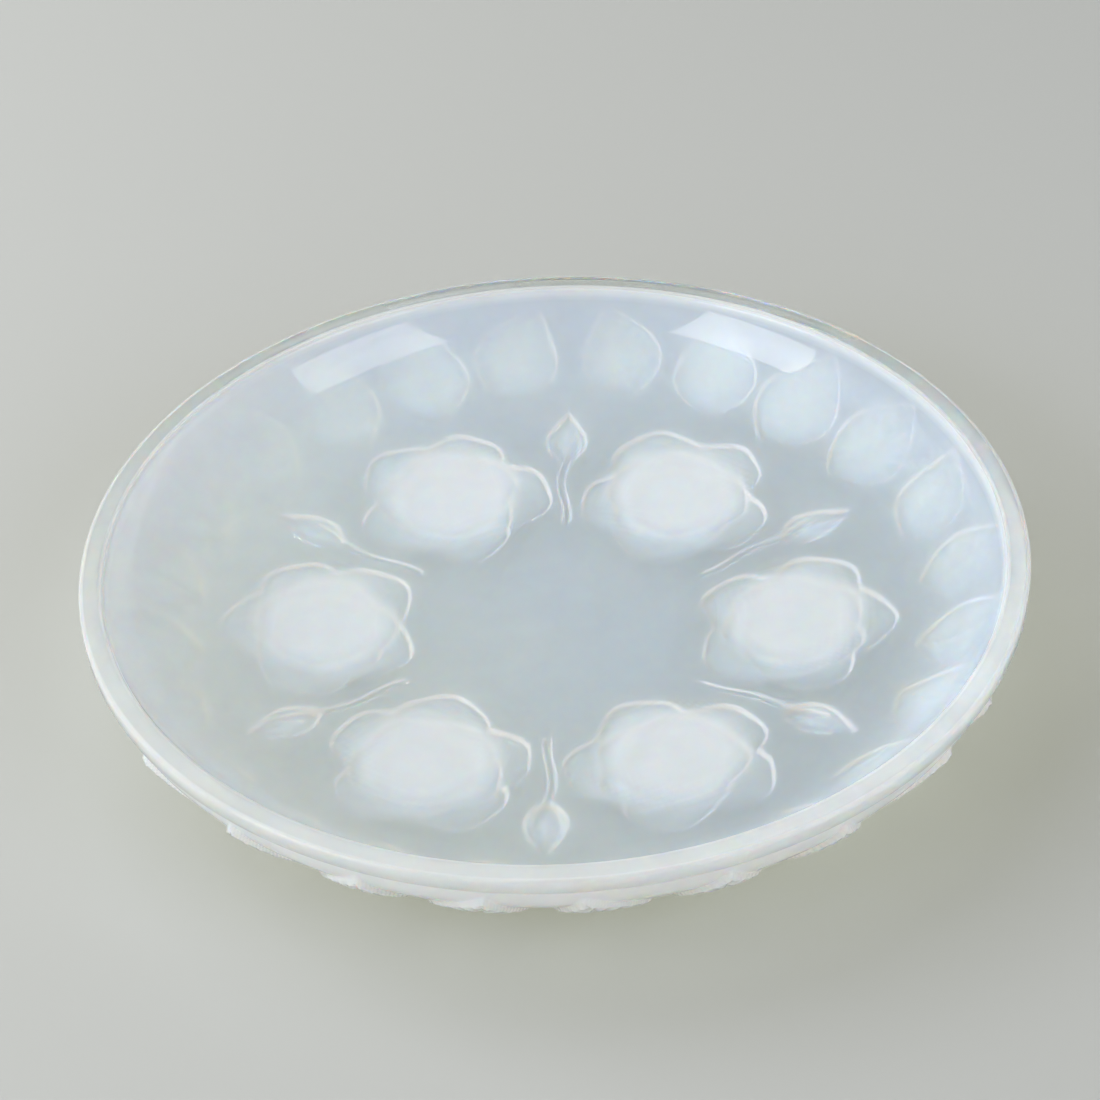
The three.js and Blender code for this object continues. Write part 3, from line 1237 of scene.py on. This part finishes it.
    def _grow_inside(self, skin: RingSkin, relief: ReliefField) -> None:
        """Grow the smooth inside from the rim down to the axis, with fewer points towards the middle.

        Args:
            skin: The mesh so far.
            relief: The relief on the underside.
        """
        profile = self.profile
        floor_slope = profile.floor_slope(Face.INSIDE)
        start = profile.inside_end_slope - profile.rim_inner_round / profile.wall_curve_radius
        wall = np.linspace(start, floor_slope, self.inside_wall_steps)
        floor = np.linspace(floor_slope, 0, self.inside_floor_steps)[1:-1]
        veil = self._veil(relief)
        strike = self._strike(relief, self.inside_scatter)
        white = self._white(relief, strike)
        for number, slope in enumerate(np.concatenate([wall, floor])):
            radius, height = (float(value) for value in profile.point(Face.INSIDE, slope))
            # The first rings step down to a quarter of the points, and the plain middle needs half of those.
            halvings = min(1 + number // 2, 2) + (radius < self.plain_radius)
            every = 1 << halvings
            count = self.segments // every
            on_floor, up_wall = min(slope, floor_slope), max(slope - floor_slope, 0)
            below = profile.floor_curve * on_floor + profile.wall_curve * up_wall
            row = min(int(np.searchsorted(relief.lengths, below)), len(veil) - 1)
            share = min(radius / self.plain_radius, 1)
            milk = self.floor_veil + share * (veil[row, ::every] - self.floor_veil)
            lip = ramp(self.lip_width - (start - slope) * profile.wall_curve_radius, self.lip_width)
            milk = milk + lip * np.maximum(self.lip_milk - milk, 0)
            glow = Glow(milk, np.maximum(strike[row, ::every], lip), np.maximum(white[row, ::every], lip))
            ring = self._turned(radius, height, count)
            skin.add(ring, glow, self._spread(radius, count, Face.INSIDE), Finish.INSIDE)
        pole = np.array([[0, 0, (profile.foot_height + profile.glass_thickness) * MM]])
        thin = self._milk(profile.glass_thickness)
        plain = Glow(self.floor_veil, thin, thin)
        skin.add(pole, plain, self._spread(0, 1, Face.INSIDE), Finish.INSIDE)


@dataclass(frozen=True)
class SeamlessPaper:
    """Matt grey background paper, which scatters light evenly and shows only a faint tooth, in mm."""

    name: str = "background_paper_matt"
    colour: str = "#c3c5c2"
    tooth_size: float = 1.5
    tooth_height: float = 0.2
    tooth_strength: float = 0.05
    roughness: float = 0.9
    gloss: float = 0.1

    def make(self) -> bpy.types.Material:
        """Build the node material.

        Returns:
            The new material.
        """
        material = bpy.data.materials.new(self.name)
        material.use_nodes = True
        tree = material.node_tree
        tree.nodes.clear()
        place = add_node(tree, "ShaderNodeTexCoord")
        tooth = add_node(
            tree,
            "ShaderNodeTexNoise",
            {"scale": 1 / (self.tooth_size * MM), "detail": 1.0},
            vector=place.outputs["Object"],
        )
        bump = add_node(
            tree,
            "ShaderNodeBump",
            {"strength": self.tooth_strength, "distance": self.tooth_height * MM},
            height=tooth.outputs["Fac"],
        )
        paper = add_node(
            tree,
            "ShaderNodeBsdfPrincipled",
            {
                "base_color": linear(self.colour),
                "roughness": self.roughness,
                "specular_ior_level": self.gloss,
            },
            normal=bump.outputs["Normal"],
        )
        add_node(tree, "ShaderNodeOutputMaterial", None, surface=paper.outputs["BSDF"])
        return material


@dataclass(frozen=True)
class Softbox:
    """Rectangular lamp with a soft front, aimed at the bowl, with sizes in metres.

    One that isn't mirrored only lights the scene, as a panel does that is too far and dim to show in glass.
    """

    name: str
    place: tuple[float, float, float]
    width: float
    height: float
    power: float
    colour: str = "#ffffff"
    mirrored: bool = True

    def hang(self, aim: Vector) -> None:
        """Add the lamp to the scene.

        Args:
            aim: Point that the lamp faces.
        """
        lamp = bpy.data.lights.new(self.name, "AREA")
        lamp.shape = "RECTANGLE"
        lamp.size = self.width
        lamp.size_y = self.height
        lamp.energy = self.power
        lamp.color = linear(self.colour)[:3]
        lamp_object = bpy.data.objects.new(self.name, lamp)
        lamp_object.location = self.place
        lamp_object.visible_glossy = self.mirrored
        way = aim - Vector(self.place)
        lamp_object.rotation_euler = way.to_track_quat("-Z", "Y").to_euler()
        bpy.context.scene.collection.objects.link(lamp_object)


@dataclass
class Studio:
    """Table-top studio: paper sweep, softboxes, and the camera at the photograph's angle."""

    rim_height: float
    distance: float = 1.35
    elevation: float = math.radians(39.2)
    roll: float = math.radians(3.04)
    focal_pixels: float = 3660.0
    image_width: float = 1100.0
    sensor_width: float = 36.0
    rim_centre_pixel: tuple[float, float] = (553.0, 548.0)
    paper_gap: float = 0.00005
    sweep_half_width: float = 5.0
    sweep_front: float = -5.0
    sweep_back: float = 1.6
    sweep_curve: float = 0.8
    sweep_height: float = 2.4
    sweep_steps: int = 13
    softboxes: tuple[Softbox, ...] = (
        Softbox("softbox_left", (-1.5, -0.95, 1.0), 1.1, 1.1, 14),
        Softbox("softbox_right", (1.8, -1.5, 1.5), 1.58, 1.58, 21),
        Softbox("bounce_panel_left", (-1.65, 0.4, 0.95), 2.0, 1.2, 24, mirrored=False),
        Softbox("fill_panel_right", (2.0, 0.3, 0.6), 1.6, 0.8, 9, mirrored=False),
        Softbox("fill_panel_front", (0.2, -1.8, 0.55), 1.6, 0.7, 4.5, mirrored=False),
        Softbox("scrim_above", (-0.8, 1.0, 1.7), 1.6, 1.6, 12.5, mirrored=False),
    )
    room_colour: str = "#ffffff"
    room_strength: float = 0.16

    def build(self) -> None:
        """Make everything round the object."""
        self._lay_paper()
        for softbox in self.softboxes:
            softbox.hang(Vector((0, 0, self.rim_height)))
        self._light_room()
        self._set_camera()
        bpy.context.scene.view_settings.view_transform = "Standard"

    def _lay_paper(self) -> None:
        """Lay the paper sweep: flat under the bowl, curving up far behind it."""
        rows = [(self.sweep_front, 0.0)]
        for turn in np.linspace(0, math.pi / 2, self.sweep_steps):
            out = self.sweep_back + self.sweep_curve * math.sin(turn)
            rows.append((out, self.sweep_curve * (1 - math.cos(turn))))
        rows.append((self.sweep_back + self.sweep_curve, self.sweep_height))
        points = [(side * self.sweep_half_width, y, z - self.paper_gap) for y, z in rows for side in (-1, 1)]
        faces = [(2 * i, 2 * i + 1, 2 * i + 3, 2 * i + 2) for i in range(len(rows) - 1)]
        mesh = bpy.data.meshes.new("paper_sweep")
        mesh.from_pydata(points, [], faces)
        mesh.polygons.foreach_set("use_smooth", np.ones(len(faces), bool))
        mesh.materials.append(SeamlessPaper().make())
        sweep = bpy.data.objects.new("paper_sweep", mesh)
        bpy.context.scene.collection.objects.link(sweep)

    def _light_room(self) -> None:
        """Light the room evenly from all round."""
        world = bpy.data.worlds.new("studio_room")
        world.use_nodes = True
        background = world.node_tree.nodes["Background"]
        background.inputs["Color"].default_value = linear(self.room_colour)
        background.inputs["Strength"].default_value = self.room_strength
        bpy.context.scene.world = world

    def _set_camera(self) -> None:
        """Put the camera where the photograph was taken from."""
        lens = bpy.data.cameras.new("photo_camera")
        lens.sensor_width = self.sensor_width
        lens.lens = self.sensor_width * self.focal_pixels / self.image_width
        lens.shift_x = (self.image_width / 2 - self.rim_centre_pixel[0]) / self.image_width
        lens.shift_y = (self.rim_centre_pixel[1] - self.image_width / 2) / self.image_width
        camera = bpy.data.objects.new("photo_camera", lens)
        aim = Vector((0, 0, self.rim_height))
        back = Vector((0, -math.cos(self.elevation), math.sin(self.elevation)))
        facing = (-back).to_track_quat("-Z", "Y").to_matrix().to_4x4()
        rolled = facing @ Matrix.Rotation(-self.roll, 4, "Z")
        camera.matrix_world = Matrix.Translation(aim + self.distance * back) @ rolled
        bpy.context.scene.collection.objects.link(camera)
        bpy.context.scene.camera = camera


def main() -> None:
    """Build the bowl and its studio, and tie the bowl to the frame."""
    logging.basicConfig(level=logging.INFO, format="%(message)s")
    _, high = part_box("dish")
    profile = DishProfile(rim_radius=high.x / MM, rim_height=high.z / MM)
    wreath = Wreath(profile)
    glass_bowl = GlassBowl(profile, wreath)
    bowl = glass_bowl.build()
    glass_bowl.dress(bowl)
    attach(bowl, "root")
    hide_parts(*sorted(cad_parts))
    log.info("%s: %d faces, %d motifs", bowl.name, len(bowl.data.polygons), len(wreath.plots))
    Studio(rim_height=high.z).build()


if __name__ == "__main__":
    main()
